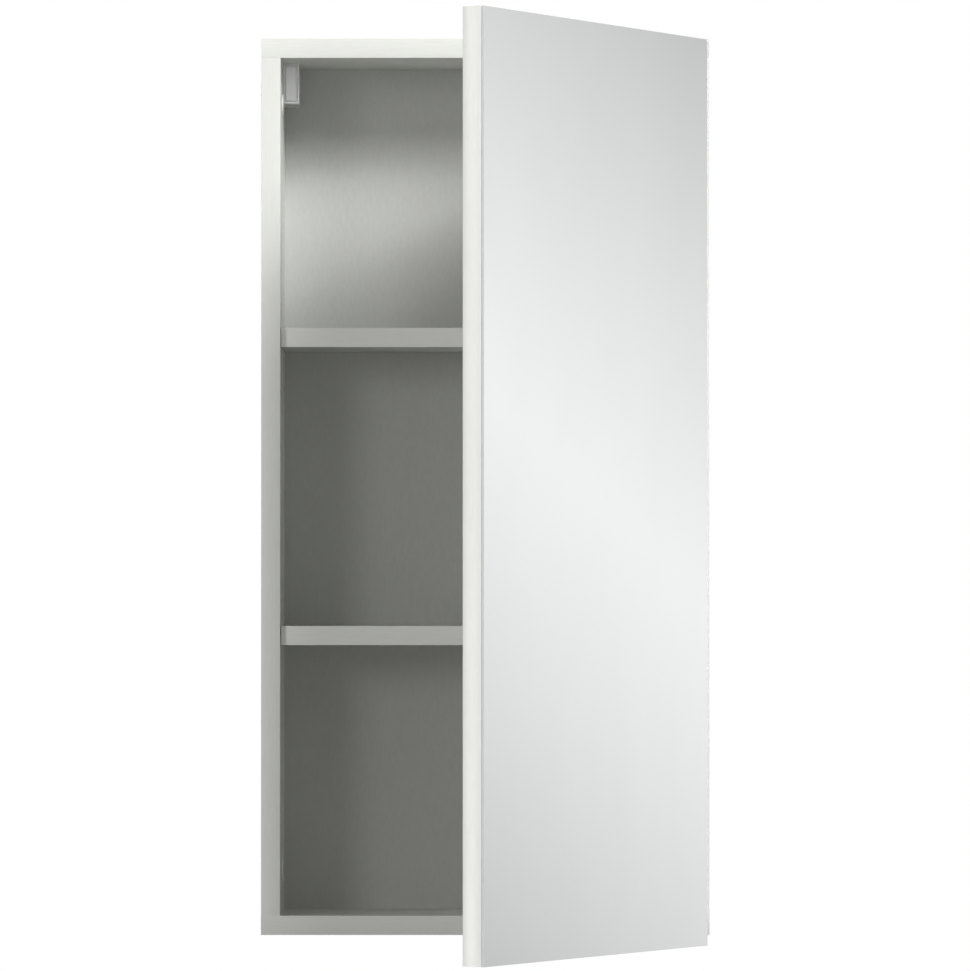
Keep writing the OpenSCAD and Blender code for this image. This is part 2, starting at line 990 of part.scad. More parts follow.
side_panel_left();
side_panel_right();
top_panel();
bottom_panel();
back_panel();
edge_strip_left();
edge_strip_right();
edge_strip_top();
edge_strip_bottom();
shelf_lower();
shelf_upper();
shelf_strip_lower();
shelf_strip_upper();
shelf_pins();
dowels();
cam_bolts();
cam_locks();
cam_covers();
bumpers();
hanger_housing_left();
hanger_housing_right();
hanger_cover_left();
hanger_cover_right();
hanger_pegs();
hanger_hook_left();
hanger_hook_right();
height_screw_left();
height_screw_right();
wall_plate_left();
wall_plate_right();
hinge_plate_lower();
hinge_plate_upper();
hinge_plate_screws();
hinge_arm_lower();
hinge_arm_upper();
hinge_arm_screws();
hinge_arm_pins();
outer_link_lower();
outer_link_upper();
inner_link_lower();
inner_link_upper();
hinge_cup_lower();
hinge_cup_upper();
hinge_cup_screws();
hinge_cup_pins();
door_board();
door_strip_left();
door_strip_right();
door_strip_top();
door_strip_bottom();
mirror_film();
mirror_glass();
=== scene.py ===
"""A mirrored medicine cabinet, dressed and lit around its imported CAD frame.

Lengths are metres in the frame's own axes: X to the right, the front faces -Y, the wall is Y = 0.
Each sub-assembly is a class that shapes its pieces, gives them their finishes and says what
they ride on. The door is shaped as if shut, square to the axes, and then turned to where it rests.
"""

import json
import logging
import math
from collections.abc import Callable, Sequence
from dataclasses import dataclass
from enum import Enum

import bmesh
import bpy
from mathutils import Matrix, Vector


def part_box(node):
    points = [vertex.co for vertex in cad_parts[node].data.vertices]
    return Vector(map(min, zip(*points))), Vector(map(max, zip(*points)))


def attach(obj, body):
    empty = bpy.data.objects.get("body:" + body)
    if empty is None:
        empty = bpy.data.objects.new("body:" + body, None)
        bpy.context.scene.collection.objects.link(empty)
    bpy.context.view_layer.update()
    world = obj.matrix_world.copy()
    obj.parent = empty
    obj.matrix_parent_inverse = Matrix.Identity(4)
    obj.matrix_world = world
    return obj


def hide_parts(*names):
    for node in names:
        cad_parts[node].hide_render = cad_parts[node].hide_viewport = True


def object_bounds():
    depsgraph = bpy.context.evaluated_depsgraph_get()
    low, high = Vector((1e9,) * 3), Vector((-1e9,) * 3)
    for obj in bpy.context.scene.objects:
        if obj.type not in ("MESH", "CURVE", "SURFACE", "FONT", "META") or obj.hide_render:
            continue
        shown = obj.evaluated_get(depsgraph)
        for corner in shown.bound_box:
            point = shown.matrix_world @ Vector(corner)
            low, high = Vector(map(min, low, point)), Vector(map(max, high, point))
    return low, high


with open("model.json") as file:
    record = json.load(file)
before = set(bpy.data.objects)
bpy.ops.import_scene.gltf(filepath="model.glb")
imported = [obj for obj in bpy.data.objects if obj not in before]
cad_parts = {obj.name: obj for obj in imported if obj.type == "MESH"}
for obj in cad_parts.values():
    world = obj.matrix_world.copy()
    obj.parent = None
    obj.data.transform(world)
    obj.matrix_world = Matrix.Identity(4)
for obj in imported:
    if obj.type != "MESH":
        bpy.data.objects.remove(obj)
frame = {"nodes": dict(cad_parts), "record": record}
CAD_BOX = [list(corner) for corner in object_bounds()]

LOG = logging.getLogger("medicine_cabinet")
MM = 0.001
FRONT = Vector((0, -1, 0))
STILL = Matrix.Identity(4)
MERGE = 2e-6
SMOOTH_UNDER = math.radians(35)
FLAT_WITHIN = math.radians(0.6)
LEANING = 0.35  # how far a face may lean away from an axis and still belong to that side
SQUARE_ON = 0.99  # how nearly a face must look one way to count as looking that way

Node = bpy.types.Node
Socket = bpy.types.NodeSocket
Tree = bpy.types.NodeTree
Object = bpy.types.Object
Material = bpy.types.Material


# --------------------------------------------------------------------------------------
# Colour and node helpers


def linear(colour: str) -> tuple[float, float, float, float]:
    """Turns an sRGB hex value into the linear colour that Blender works in.

    Args:
        colour: six hex digits after a hash sign.

    Returns:
        Red, green, blue and an alpha of one.
    """
    parts = [int(colour[i : i + 2], 16) / 255 for i in (1, 3, 5)]
    red, green, blue = (p / 12.92 if p <= 0.04045 else ((p + 0.055) / 1.055) ** 2.4 for p in parts)
    return red, green, blue, 1.0


def add_node(tree: Tree, kind: str, settings: dict | None = None, inputs: dict | None = None) -> Node:
    """Adds one node, with its settings and what goes into its sockets.

    Args:
        tree: the node tree that gets the node.
        kind: the node's Blender type.
        settings: properties of the node by name.
        inputs: a constant, or the socket that feeds it, by the input's name or number.

    Returns:
        The new node.
    """
    node = tree.nodes.new(kind)
    for name, value in (settings or {}).items():
        setattr(node, name, value)
    for name, value in (inputs or {}).items():
        if isinstance(value, bpy.types.NodeSocket):
            tree.links.new(value, node.inputs[name])
        else:
            node.inputs[name].default_value = value
    return node


# --------------------------------------------------------------------------------------
# Finishes


class Pattern(Enum):
    """How the small-scale detail of a surface runs."""

    PEBBLE = "pebble"  # the low relief of a pressed or spark-eroded face
    CHIPS = "chips"  # flat flakes pressed together
    FIBRES = "fibres"  # long thin streaks, stretched along one axis
    CRYSTALS = "crystals"  # the patches of a plated surface
    WIPED = "wiped"  # broad soft smears on something polished


NOISE_DETAIL = {Pattern.PEBBLE: 2.0, Pattern.FIBRES: 5.0, Pattern.WIPED: 4.0}
NOISE_ROUGHNESS = 0.55
NOISE_TWIST = 0.2
BROAD_DETAIL = 3.0
BROAD_ROUGHNESS = 0.6
SHADE_ENDS = (0.25, 0.75)  # the pattern's values at which a colour is pure
GLOSS_ENDS = (0.3, 0.7)  # the values at which the gloss is highest and lowest
WEAR_SHARE = 0.5  # how much of the gloss follows the broad patches


@dataclass(frozen=True)
class Finish:
    """A surface as the eye meets it: its colours, its gloss and its small-scale detail.

    size_mm is the width of one feature of the pattern, stretch how much denser the pattern is
    along each axis, relief_mm its height, and spread how far it mixes in the second colour.
    """

    name: str
    colour: str
    second: str
    pattern: Pattern
    size_mm: float
    roughness: tuple[float, float]
    relief_mm: float = 0.0
    spread: float = 1.0
    stretch: tuple[float, float, float] = (1.0, 1.0, 1.0)
    broad_mm: float = 180.0
    metallic: float = 0.0
    ior: float | None = None
    coat: float = 0.0
    coat_roughness: float = 0.03
    subsurface: float = 0.0
    anisotropy: float = 0.0

    def material(self) -> Material:
        """Makes the material once, and gives the same one to every piece that has this finish.

        Returns:
            The material, named after the finish.
        """
        made = bpy.data.materials.get(self.name)
        if made:
            return made
        made = bpy.data.materials.new(self.name)
        made.use_nodes = True
        tree = made.node_tree
        tree.nodes.clear()
        coords = add_node(tree, "ShaderNodeTexCoord").outputs["Object"]
        placed = add_node(tree, "ShaderNodeMapping", inputs={"Vector": coords, "Scale": self.stretch})
        detail = self._detail(tree, placed.outputs["Vector"])
        broad = add_node(
            tree,
            "ShaderNodeTexNoise",
            inputs={
                "Vector": coords,
                "Scale": 1 / (self.broad_mm * MM),
                "Detail": BROAD_DETAIL,
                "Roughness": BROAD_ROUGHNESS,
            },
        )
        shade = add_node(
            tree,
            "ShaderNodeMapRange",
            inputs={
                "Value": detail,
                "From Min": SHADE_ENDS[0],
                "From Max": SHADE_ENDS[1],
                "To Max": self.spread,
            },
        )
        mixed = add_node(
            tree,
            "ShaderNodeMix",
            {"data_type": "RGBA"},
            {0: shade.outputs["Result"], 6: linear(self.colour), 7: linear(self.second)},
        )
        worn = add_node(
            tree,
            "ShaderNodeMix",
            {"data_type": "FLOAT"},
            {0: WEAR_SHARE, 2: detail, 3: broad.outputs["Fac"]},
        )
        gloss = add_node(
            tree,
            "ShaderNodeMapRange",
            inputs={
                "Value": worn.outputs[0],
                "From Min": GLOSS_ENDS[0],
                "From Max": GLOSS_ENDS[1],
                "To Min": self.roughness[0],
                "To Max": self.roughness[1],
            },
        )
        relief = add_node(
            tree,
            "ShaderNodeBump",
            inputs={"Strength": 1.0, "Distance": self.relief_mm * MM, "Height": detail},
        )
        constants = {
            "Metallic": self.metallic,
            "Coat Weight": self.coat,
            "Coat Roughness": self.coat_roughness,
            "Subsurface Weight": self.subsurface,
            "Anisotropic": self.anisotropy,
        }
        if self.ior:
            constants["IOR"] = self.ior
        shader = add_node(
            tree,
            "ShaderNodeBsdfPrincipled",
            inputs=constants
            | {
                "Base Color": mixed.outputs[2],
                "Roughness": gloss.outputs["Result"],
                "Normal": relief.outputs["Normal"],
            },
        )
        add_node(tree, "ShaderNodeOutputMaterial", inputs={"Surface": shader.outputs["BSDF"]})
        return made

    def _detail(self, tree: Tree, vector: Socket) -> Socket:
        """Adds the texture that the pattern calls for.

        Args:
            tree: the material's node tree.
            vector: the socket that places the pattern.

        Returns:
            The socket that carries the pattern, from 0 to 1.
        """
        scale = 1 / (self.size_mm * MM)
        if self.pattern in (Pattern.CHIPS, Pattern.CRYSTALS):
            cells = add_node(
                tree,
                "ShaderNodeTexVoronoi",
                {"feature": "F1"},
                {"Vector": vector, "Scale": scale, "Randomness": 1.0},
            )
            grey = add_node(tree, "ShaderNodeRGBToBW", inputs={"Color": cells.outputs["Color"]})
            return grey.outputs["Val"]
        noise = add_node(
            tree,
            "ShaderNodeTexNoise",
            inputs={
                "Vector": vector,
                "Scale": scale,
                "Detail": NOISE_DETAIL[self.pattern],
                "Roughness": NOISE_ROUGHNESS,
                "Distortion": NOISE_TWIST,
            },
        )
        return noise.outputs["Fac"]


# Melamine paper pressed on chipboard: a hard satin face with the low pebbling of its press plate.
# The pebbles are 0.4 mm on the real board, drawn at 1.6 mm so that they show.
MELAMINE = Finish(
    "white_melamine_on_chipboard", "#E3E4E0", "#DEDFDA", Pattern.PEBBLE, 1.6, (0.36, 0.46),
    relief_mm=0.012, ior=1.5,
)
# The same pressed paper on the shelves and inside, seen mostly in shade: a little duller in gloss, and its
# colour a little darker than the outside board's as painted shade.
SHADE_PAINTED_MELAMINE = Finish(
    "white_melamine_inside_painted_shade", "#DCDDD9", "#D7D8D4", Pattern.PEBBLE, 1.8, (0.40, 0.52), relief_mm=0.012, ior=1.5
)
# Painted hardboard: a thin hard film over a faint felt of fibres.
PAINTED_HARDBOARD = Finish(
    "white_painted_hardboard", "#DCDDDA", "#D6D7D4", Pattern.FIBRES, 2.4, (0.46, 0.58),
    relief_mm=0.008, stretch=(1.0, 1.0, 0.4), ior=1.48,
)
# Raw chipboard, sawn: flakes of pale and darker wood, 2 to 3 mm long, with no gloss.
CHIPBOARD = Finish(
    "sawn_chipboard", "#D8BD8E", "#9C7647", Pattern.CHIPS, 2.2, (0.78, 0.92),
    relief_mm=0.12, stretch=(1.0, 1.0, 2.2), ior=1.4,
)
# Raw hardboard on the sawn edges of the back: brown and felted.
HARDBOARD_EDGE = Finish(
    "sawn_hardboard", "#9A7850", "#6E5233", Pattern.FIBRES, 0.9, (0.80, 0.92), relief_mm=0.05, ior=1.4
)
# ABS edging, extruded and planed flush: smoother than the board, with faint lines along its length.
EDGING = Finish(
    "white_abs_edging", "#F0F1EC", "#EAEBE5", Pattern.FIBRES, 1.2, (0.28, 0.38),
    relief_mm=0.006, stretch=(1.0, 1.0, 0.08), ior=1.53,
)
# The same edging lying across: its lines run from side to side.
EDGING_ACROSS = Finish(
    "white_abs_edging_across", "#F0F1EC", "#EAEBE5", Pattern.FIBRES, 1.2, (0.28, 0.38),
    relief_mm=0.006, stretch=(0.08, 1.0, 1.0), ior=1.53,
)
# Silver seen through float glass: a clean mirror under a clear coat, with traces of wiping.
SILVERED_GLASS = Finish(
    "silvered_float_glass", "#F1F3F2", "#EEF1F0", Pattern.WIPED, 70.0, (0.008, 0.022),
    stretch=(1.0, 1.0, 0.5), metallic=1.0, coat=0.35, coat_roughness=0.01,
)
# The ground edge of the glass: pale grey and frosted by the wheel.
GROUND_GLASS = Finish(
    "ground_glass_edge", "#DDDFDC", "#D7DAD7", Pattern.FIBRES, 1.4, (0.55, 0.70),
    relief_mm=0.006, stretch=(1.0, 1.0, 0.1), ior=1.45,
)
# Copper and lead-free backing paint, rolled on: flat grey with a fine orange peel.
BACKING_PAINT = Finish(
    "grey_mirror_backing_paint", "#6D7473", "#5D6463", Pattern.PEBBLE, 1.1, (0.50, 0.62),
    relief_mm=0.02, ior=1.5,
)
# Acrylic adhesive on a film: milky and slightly wet.
ADHESIVE = Finish(
    "acrylic_adhesive_film", "#E4E5DE", "#D6D8D0", Pattern.WIPED, 6.0, (0.25, 0.45), relief_mm=0.02, ior=1.47
)
# Nickel on pressed steel: warm grey metal, slightly clouded, its edges catching the light.
NICKEL = Finish(
    "nickel_plated_pressed_steel", "#C9C5BC", "#B7B2A8", Pattern.WIPED, 4.0, (0.20, 0.34),
    relief_mm=0.003, broad_mm=30.0, metallic=1.0, anisotropy=0.25,
)
# Bright zinc on screws and pins: bluish metal in small crystal patches.
# The patches are under 0.3 mm on the real screws, drawn at 0.5 mm so that they show.
ZINC = Finish(
    "zinc_plated_steel", "#C3C8CE", "#AEB5BD", Pattern.CRYSTALS, 0.5, (0.26, 0.40),
    relief_mm=0.004, broad_mm=12.0, metallic=1.0,
)
# Cast zinc alloy of the cam locks: duller, with the grain of its mould.
ZINC_ALLOY = Finish(
    "cast_zinc_alloy", "#B4B7B8", "#9A9D9F", Pattern.PEBBLE, 0.5, (0.38, 0.52),
    relief_mm=0.02, broad_mm=14.0, metallic=1.0,
)
# Polypropylene moulded in a spark-eroded tool: matt, finely pitted and a little translucent.
# The pits are 0.15 mm in the real moulding, drawn at 0.6 mm so that they show.
MOULDED_PLASTIC = Finish(
    "moulded_white_polypropylene", "#F2F3F1", "#E8E9E6", Pattern.PEBBLE, 0.6, (0.42, 0.54),
    relief_mm=0.02, broad_mm=25.0, ior=1.49, subsurface=0.05,
)
# Moulded plastic under silver lacquer: a satin metal look, with the orange peel of the spray.
SILVER_LACQUER = Finish(
    "silver_lacquered_plastic", "#EDEDEE", "#E4E4E6", Pattern.PEBBLE, 0.8, (0.34, 0.44),
    relief_mm=0.006, broad_mm=20.0, metallic=1.0,
)
# Beech, turned and grooved: pinkish tan with short dark flecks along the grain.
BEECH = Finish(
    "turned_beech", "#D2A878", "#A87B4C", Pattern.FIBRES, 0.9, (0.55, 0.70),
    relief_mm=0.04, stretch=(1.0, 1.0, 0.12), broad_mm=20.0, ior=1.45,
)
# Soft clear polyurethane: a cloudy pad with a damp-looking skin.
SOFT_PAD = Finish(
    "clear_polyurethane_pad", "#E9EBE8", "#DADDDA", Pattern.WIPED, 3.0, (0.30, 0.42),
    relief_mm=0.01, broad_mm=10.0, ior=1.49, subsurface=0.3,
)


# --------------------------------------------------------------------------------------
# Modelling helpers


def only(piece: Object) -> None:
    """Leaves edit mode, then selects this piece alone and makes it active."""
    if bpy.context.object and bpy.context.object.mode != "OBJECT":
        bpy.ops.object.mode_set(mode="OBJECT")
    bpy.ops.object.select_all(action="DESELECT")
    piece.hide_set(False)
    piece.select_set(True)
    bpy.context.view_layer.objects.active = piece


def pick(piece: Object, kind: str, test: Callable[[object], bool]) -> None:
    """Selects the faces or edges that pass a test, and nothing else; the piece is in edit mode.

    Args:
        piece: the piece being shaped.
        kind: "faces" or "edges".
        test: says whether one face or edge is wanted.
    """
    bpy.ops.mesh.select_mode(type="FACE" if kind == "faces" else "EDGE")
    bpy.ops.mesh.select_all(action="DESELECT")
    mesh = bmesh.from_edit_mesh(piece.data)
    mesh.normal_update()
    for item in getattr(mesh, kind):
        item.select_set(bool(test(item)))
    mesh.select_flush_mode()
    bmesh.update_edit_mesh(piece.data)


def block(name: str, low: Vector, high: Vector) -> Object:
    """Adds a block that fills a box, ready to be shaped.

    Args:
        name: the piece's name.
        low: the box's lowest corner.
        high: its highest corner.

    Returns:
        The piece, at the origin, with its place in its mesh.
    """
    bpy.ops.object.select_all(action="DESELECT")
    bpy.ops.mesh.primitive_cube_add(size=1, location=(low + high) / 2, scale=high - low)
    piece = bpy.context.object
    piece.name = piece.data.name = name
    bpy.ops.object.transform_apply(location=True, rotation=True, scale=True)
    return piece


def local_box(node: str, turn: Matrix) -> tuple[Vector, Vector]:
    """Gives the box of a CAD node as it lies before it is turned.

    Args:
        node: the CAD node.
        turn: the turn that takes the piece to where it rests.

    Returns:
        The lowest and the highest corner.
    """
    back = turn.inverted()
    points = [back @ v.co for v in frame["nodes"][node].data.vertices]
    low, high = (Vector([end(p[i] for p in points) for i in range(3)]) for end in (min, max))
    return low, high


def solids(node: str) -> list[tuple[Vector, Vector]]:
    """Gives the box of each separate solid in a CAD node.

    Args:
        node: the CAD node.

    Returns:
        One lowest and one highest corner for each solid, in the order of their vertices.
    """
    mesh = bmesh.new()
    mesh.from_mesh(frame["nodes"][node].data)
    bmesh.ops.remove_doubles(mesh, verts=mesh.verts, dist=MERGE)
    seen: set = set()
    boxes = []
    for start in mesh.verts:
        if start in seen:
            continue
        seen.add(start)
        island, to_visit = [start], [start]
        while to_visit:
            for edge in to_visit.pop().link_edges:
                for vertex in edge.verts:
                    if vertex not in seen:
                        seen.add(vertex)
                        island.append(vertex)
                        to_visit.append(vertex)
        points = [v.co.copy() for v in island]
        low, high = (Vector([end(p[i] for p in points) for i in range(3)]) for end in (min, max))
        boxes.append((low, high))
    mesh.free()
    return boxes


def refined_copy(node: str, arris_mm: float, rings: int = 2) -> Object:
    """Copies a CAD node, joins its loose triangles into flat faces and takes off its sharp edges.

    Args:
        node: the CAD node whose shape is right.
        arris_mm: how wide the edges are broken.
        rings: how many faces round each edge.

    Returns:
        The finished copy.
    """
    piece = frame["nodes"][node].copy()
    piece.data = piece.data.copy()
    piece.name = piece.data.name = f"{node}_finished"
    for key in [k for k in piece.keys() if k.startswith("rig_")]:
        del piece[key]
    piece.parent = None
    piece.matrix_world = Matrix.Identity(4)
    bpy.context.scene.collection.objects.link(piece)
    only(piece)
    bpy.ops.object.mode_set(mode="EDIT")
    bpy.ops.mesh.select_all(action="SELECT")
    bpy.ops.mesh.remove_doubles(threshold=MERGE)
    bpy.ops.mesh.customdata_custom_splitnormals_clear()
    bpy.ops.mesh.dissolve_limited(angle_limit=FLAT_WITHIN)
    bpy.ops.object.mode_set(mode="OBJECT")
    arris = piece.modifiers.new("arris", "BEVEL")
    arris.width = arris_mm * MM
    arris.segments = rings
    arris.limit_method = "ANGLE"
    arris.angle_limit = SMOOTH_UNDER
    bpy.ops.object.modifier_apply(modifier=arris.name)
    bpy.ops.object.shade_smooth_by_angle(angle=SMOOTH_UNDER)
    return piece


def dress(piece: Object, finishes: Sequence[Finish], choose: Callable[[object], int] | None = None) -> None:
    """Gives a piece its materials.

    Args:
        piece: the piece, out of edit mode.
        finishes: the finishes on it, in the order of its material slots.
        choose: says which of them a face has; without it, all have the first.
    """
    piece.data.materials.clear()
    for finish in finishes:
        piece.data.materials.append(finish.material())
    for face in piece.data.polygons:
        face.material_index = choose(face) if choose else 0


def place(piece: Object, body: str, slot: str, *nodes: str) -> None:
    """Says what a finished piece rides on, and hides the CAD nodes it stands for.

    Args:
        piece: the finished piece.
        body: the CAD body it moves with.
        slot: the record's material slot; not used.
        nodes: the CAD nodes it replaces.
    """
    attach(piece, body)
    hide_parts(*nodes)
    faces = len(piece.data.polygons)
    LOG.info("%s: %d faces, rides on %s, for %s", piece.name, faces, body, ", ".join(nodes))


def body_of(node: str) -> str:
    """Gives the name of the CAD body that a node belongs to."""
    groups = frame["record"]["behaviour"]["bodies"]
    return next(body for body, nodes in groups.items() if node in nodes)


def faced(node: str, axes: str, turn: Matrix, margin: float) -> Callable[[object], int]:
    """Tells the faced sides of a board from its sawn edges, bores and grooves.

    Args:
        node: the board's CAD node.
        axes: the axes whose two outer faces are faced, such as "xz".
        turn: the turn from the board's own axes to where it rests.
        margin: how far in from the outside still counts as the outer face.

    Returns:
        A test that gives 0 for a faced face and 1 for a sawn one.
    """
    low, high = local_box(node, turn)
    back = turn.inverted()

    def which(face: bpy.types.MeshPolygon) -> int:
        """Gives 0 for a faced face, 1 for a sawn one."""
        middle, normal = back @ face.center, back @ face.normal
        for axis in ("xyz".index(a) for a in axes):
            outside = min(middle[axis] - low[axis], high[axis] - middle[axis]) < margin
            if outside and abs(normal[axis]) > LEANING:
                return 0
        return 1

    return which


@dataclass
class Boards:
    """Sizes and methods that boards and their edging share, in the carcass and in the door."""

    arris_mm: float = 0.2
    edging_round_mm: float = 0.3
    edging_rings: int = 3

    def board(self, node: str, axes: str, finish: Finish, core: Finish, slot: str, turn: Matrix) -> None:
        """Finishes one board: faced on some axes, sawn everywhere else.

        Args:
            node: the CAD node.
            axes: the axes whose outer faces are faced.
            finish: the facing.
            core: what shows where it is sawn or bored.
            slot: the record's material slot.
            turn: the turn from the board's own axes to where it rests.
        """
        piece = refined_copy(node, self.arris_mm, 1)
        dress(piece, (finish, core), faced(node, axes, turn, self.arris_mm * MM))
        place(piece, body_of(node), slot, node)

    def edging(self, node: str, outward: Vector, finish: Finish, turn: Matrix) -> None:
        """Models a strip of edging, its two long outer edges rounded over.

        Args:
            node: the CAD node.
            outward: the way its visible face looks, before it is turned.
            finish: what it is made of.
            turn: the turn that takes it to where it rests.
        """
        low, high = local_box(node, turn)
        side = max(range(3), key=lambda i: abs(outward[i]))
        face = high[side] if outward[side] > 0 else low[side]
        length = max(high - low)
        piece = block(f"{node}_finished", low, high)
        bpy.ops.object.mode_set(mode="EDIT")
        pick(
            piece,
            "edges",
            lambda e: e.calc_length() > length * SQUARE_ON
            and all(abs(v.co[side] - face) < MERGE for v in e.verts),
        )
        bpy.ops.mesh.bevel(
            offset=self.edging_round_mm * MM, segments=self.edging_rings, affect="EDGES", clamp_overlap=True
        )
        bpy.ops.object.mode_set(mode="OBJECT")
        settle(piece, turn)
        dress(piece, (finish,))
        place(piece, body_of(node), "white_edge", node)


def settle(piece: Object, turn: Matrix) -> None:
    """Turns a shaped piece to where it rests, with its place in its mesh, and smooths its rounded parts.

    Args:
        piece: the piece, out of edit mode.
        turn: the turn that takes it there.
    """
    only(piece)
    piece.matrix_world = turn
    bpy.ops.object.transform_apply(location=True, rotation=True, scale=True)
    bpy.ops.object.shade_smooth_by_angle(angle=SMOOTH_UNDER)


@dataclass
class Carcass(Boards):
    """The case: two sides, top, bottom, back, shelves, their edging and what joins them."""

    pin_arris_mm: float = 0.25
    cover_arris_mm: float = 0.3
    dowel_sides: int = 32
    dowel_chamfer_mm: float = 0.6
    flute_mm: float = 0.3
    flute_land_mm: float = 0.1

    def build(self) -> None:
        """Builds and dresses every piece of the case."""
        for side in ("left", "right"):
            self.board(f"side_panel_{side}", "x", MELAMINE, CHIPBOARD, "white_board", STILL)
            self.edging(f"edge_strip_{side}", FRONT, EDGING, STILL)
        for end, panel in (("top", "top_panel"), ("bottom", "bottom_panel")):
            self.board(panel, "xz", MELAMINE, CHIPBOARD, "white_board", STILL)
            self.edging(f"edge_strip_{end}", FRONT, EDGING_ACROSS, STILL)
        for level in ("lower", "upper"):
            # The shelves take the darker inside melamine, whose colour carries painted shade.
            self.board(f"shelf_{level}", "z", SHADE_PAINTED_MELAMINE, CHIPBOARD, "inner_board", STILL)
            self.edging(f"shelf_strip_{level}", FRONT, EDGING_ACROSS, STILL)
        self.board("back_panel", "y", PAINTED_HARDBOARD, HARDBOARD_EDGE, "inner_board", STILL)
        self.dowels()
        for node, arris, finish, slot in (
            ("shelf_pins", self.pin_arris_mm, NICKEL, "nickel_steel"),
            ("cam_bolts", self.pin_arris_mm, NICKEL, "nickel_steel"),
            ("cam_locks", self.pin_arris_mm, ZINC_ALLOY, "nickel_steel"),
            ("cam_covers", self.cover_arris_mm, EDGING, "white_edge"),
        ):
            piece = refined_copy(node, arris)
            dress(piece, (finish,))
            place(piece, "cabinet", slot, node)

    def dowels(self) -> None:
        """Models one fluted and chamfered dowel, and copies it to every place."""
        places = solids("dowels")
        low, high = places[0]
        radius = (high.x - low.x) / 2
        middle = (low + high) / 2
        bpy.ops.object.select_all(action="DESELECT")
        bpy.ops.mesh.primitive_cylinder_add(
            vertices=self.dowel_sides, radius=radius, depth=high.z - low.z, location=middle
        )
        first = bpy.context.object
        bpy.ops.object.transform_apply(location=True, rotation=True, scale=True)
        bpy.ops.object.mode_set(mode="EDIT")
        pick(first, "edges", lambda e: abs(e.verts[0].co.z - e.verts[1].co.z) < MERGE)
        bpy.ops.mesh.bevel(offset=self.dowel_chamfer_mm * MM, segments=1, affect="EDGES", clamp_overlap=True)
        step = 2 * math.pi / self.dowel_sides

        def flute(face: bmesh.types.BMFace) -> bool:
            """Says whether a face is every second one of the straight side."""
            out = face.calc_center_median() - middle
            number = round(math.atan2(out.y, out.x) / step - 0.5)
            return abs(face.normal.z) < 1 - SQUARE_ON and len(face.verts) == 4 and number % 2 == 0

        pick(first, "faces", flute)
        bpy.ops.mesh.inset(thickness=self.flute_land_mm * MM, depth=-self.flute_mm * MM, use_individual=True)
        bpy.ops.object.mode_set(mode="OBJECT")
        copies = [first]
        for other_low, other_high in places[1:]:
            copy = first.copy()
            copy.data = first.data.copy()
            bpy.context.scene.collection.objects.link(copy)
            copy.location = (other_low + other_high) / 2 - middle
            copies.append(copy)
        only(first)
        for copy in copies:
            copy.select_set(True)
        bpy.ops.object.transform_apply(location=True, rotation=True, scale=True)
        bpy.ops.object.join()
        first.name = first.data.name = "dowels_finished"
        settle(first, STILL)
        dress(first, (BEECH,))
        place(first, "cabinet", "beech", "dowels")


@dataclass
class WallHanging:
    """The two height-adjustable hangers in the upper corners, and the plates they hook on."""

    housing_arris_mm: float = 0.35
    steel_arris_mm: float = 0.3
    screw_arris_mm: float = 0.12
    lip_mm: float = 0.8
    lip_depth_mm: float = 0.3
    cover_arris_mm: float = 0.25

    def build(self) -> None:
        """Builds and dresses both hangers."""
        for side in ("left", "right"):
            self.cover(f"hanger_cover_{side}")
            for node, arris, finish, slot in (
                (f"hanger_housing_{side}", self.housing_arris_mm, SILVER_LACQUER, "hanger_plastic"),
                (f"hanger_hook_{side}", self.steel_arris_mm, NICKEL, "nickel_steel"),
                (f"wall_plate_{side}", self.steel_arris_mm, NICKEL, "nickel_steel"),
                (f"height_screw_{side}", self.screw_arris_mm, ZINC, "zinc_steel"),
            ):
                piece = refined_copy(node, arris)
                dress(piece, (finish,))
                place(piece, body_of(node), slot, node)
        pegs = refined_copy("hanger_pegs", self.screw_arris_mm)
        dress(pegs, (MOULDED_PLASTIC,))
        place(pegs, "cabinet", "hanger_plastic", "hanger_pegs")

    def cover(self, node: str) -> None:
        """Models a clip-in cover: a sunk panel inside a lip, with softened corners.

        Args:
            node: the cover's CAD node.
        """
        low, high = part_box(node)
        piece = block(f"{node}_finished", low, high)
        bpy.ops.object.mode_set(mode="EDIT")
        pick(piece, "faces", lambda f: f.normal.dot(FRONT) > SQUARE_ON)
        bpy.ops.mesh.inset(thickness=self.lip_mm * MM, depth=0)
        bpy.ops.mesh.inset(thickness=self.lip_depth_mm * MM, depth=-self.lip_depth_mm * MM)
        pick(
            piece,
            "edges",
            lambda e: all(abs(v.co.y - low.y) < MERGE for v in e.verts) and is_outline(e, low, high),
        )
        bpy.ops.mesh.bevel(offset=self.cover_arris_mm * MM, segments=2, affect="EDGES", clamp_overlap=True)
        bpy.ops.object.mode_set(mode="OBJECT")
        settle(piece, STILL)
        dress(piece, (SILVER_LACQUER,))
        place(piece, "cabinet", "hanger_plastic", node)


def is_outline(edge: bmesh.types.BMEdge, low: Vector, high: Vector) -> bool:
    """Says whether an edge of a front face lies on the outline of the box, seen from the front."""
    return any(
        all(abs(v.co[axis] - end[axis]) < MERGE for v in edge.verts) for axis in (0, 2) for end in (low, high)
    )


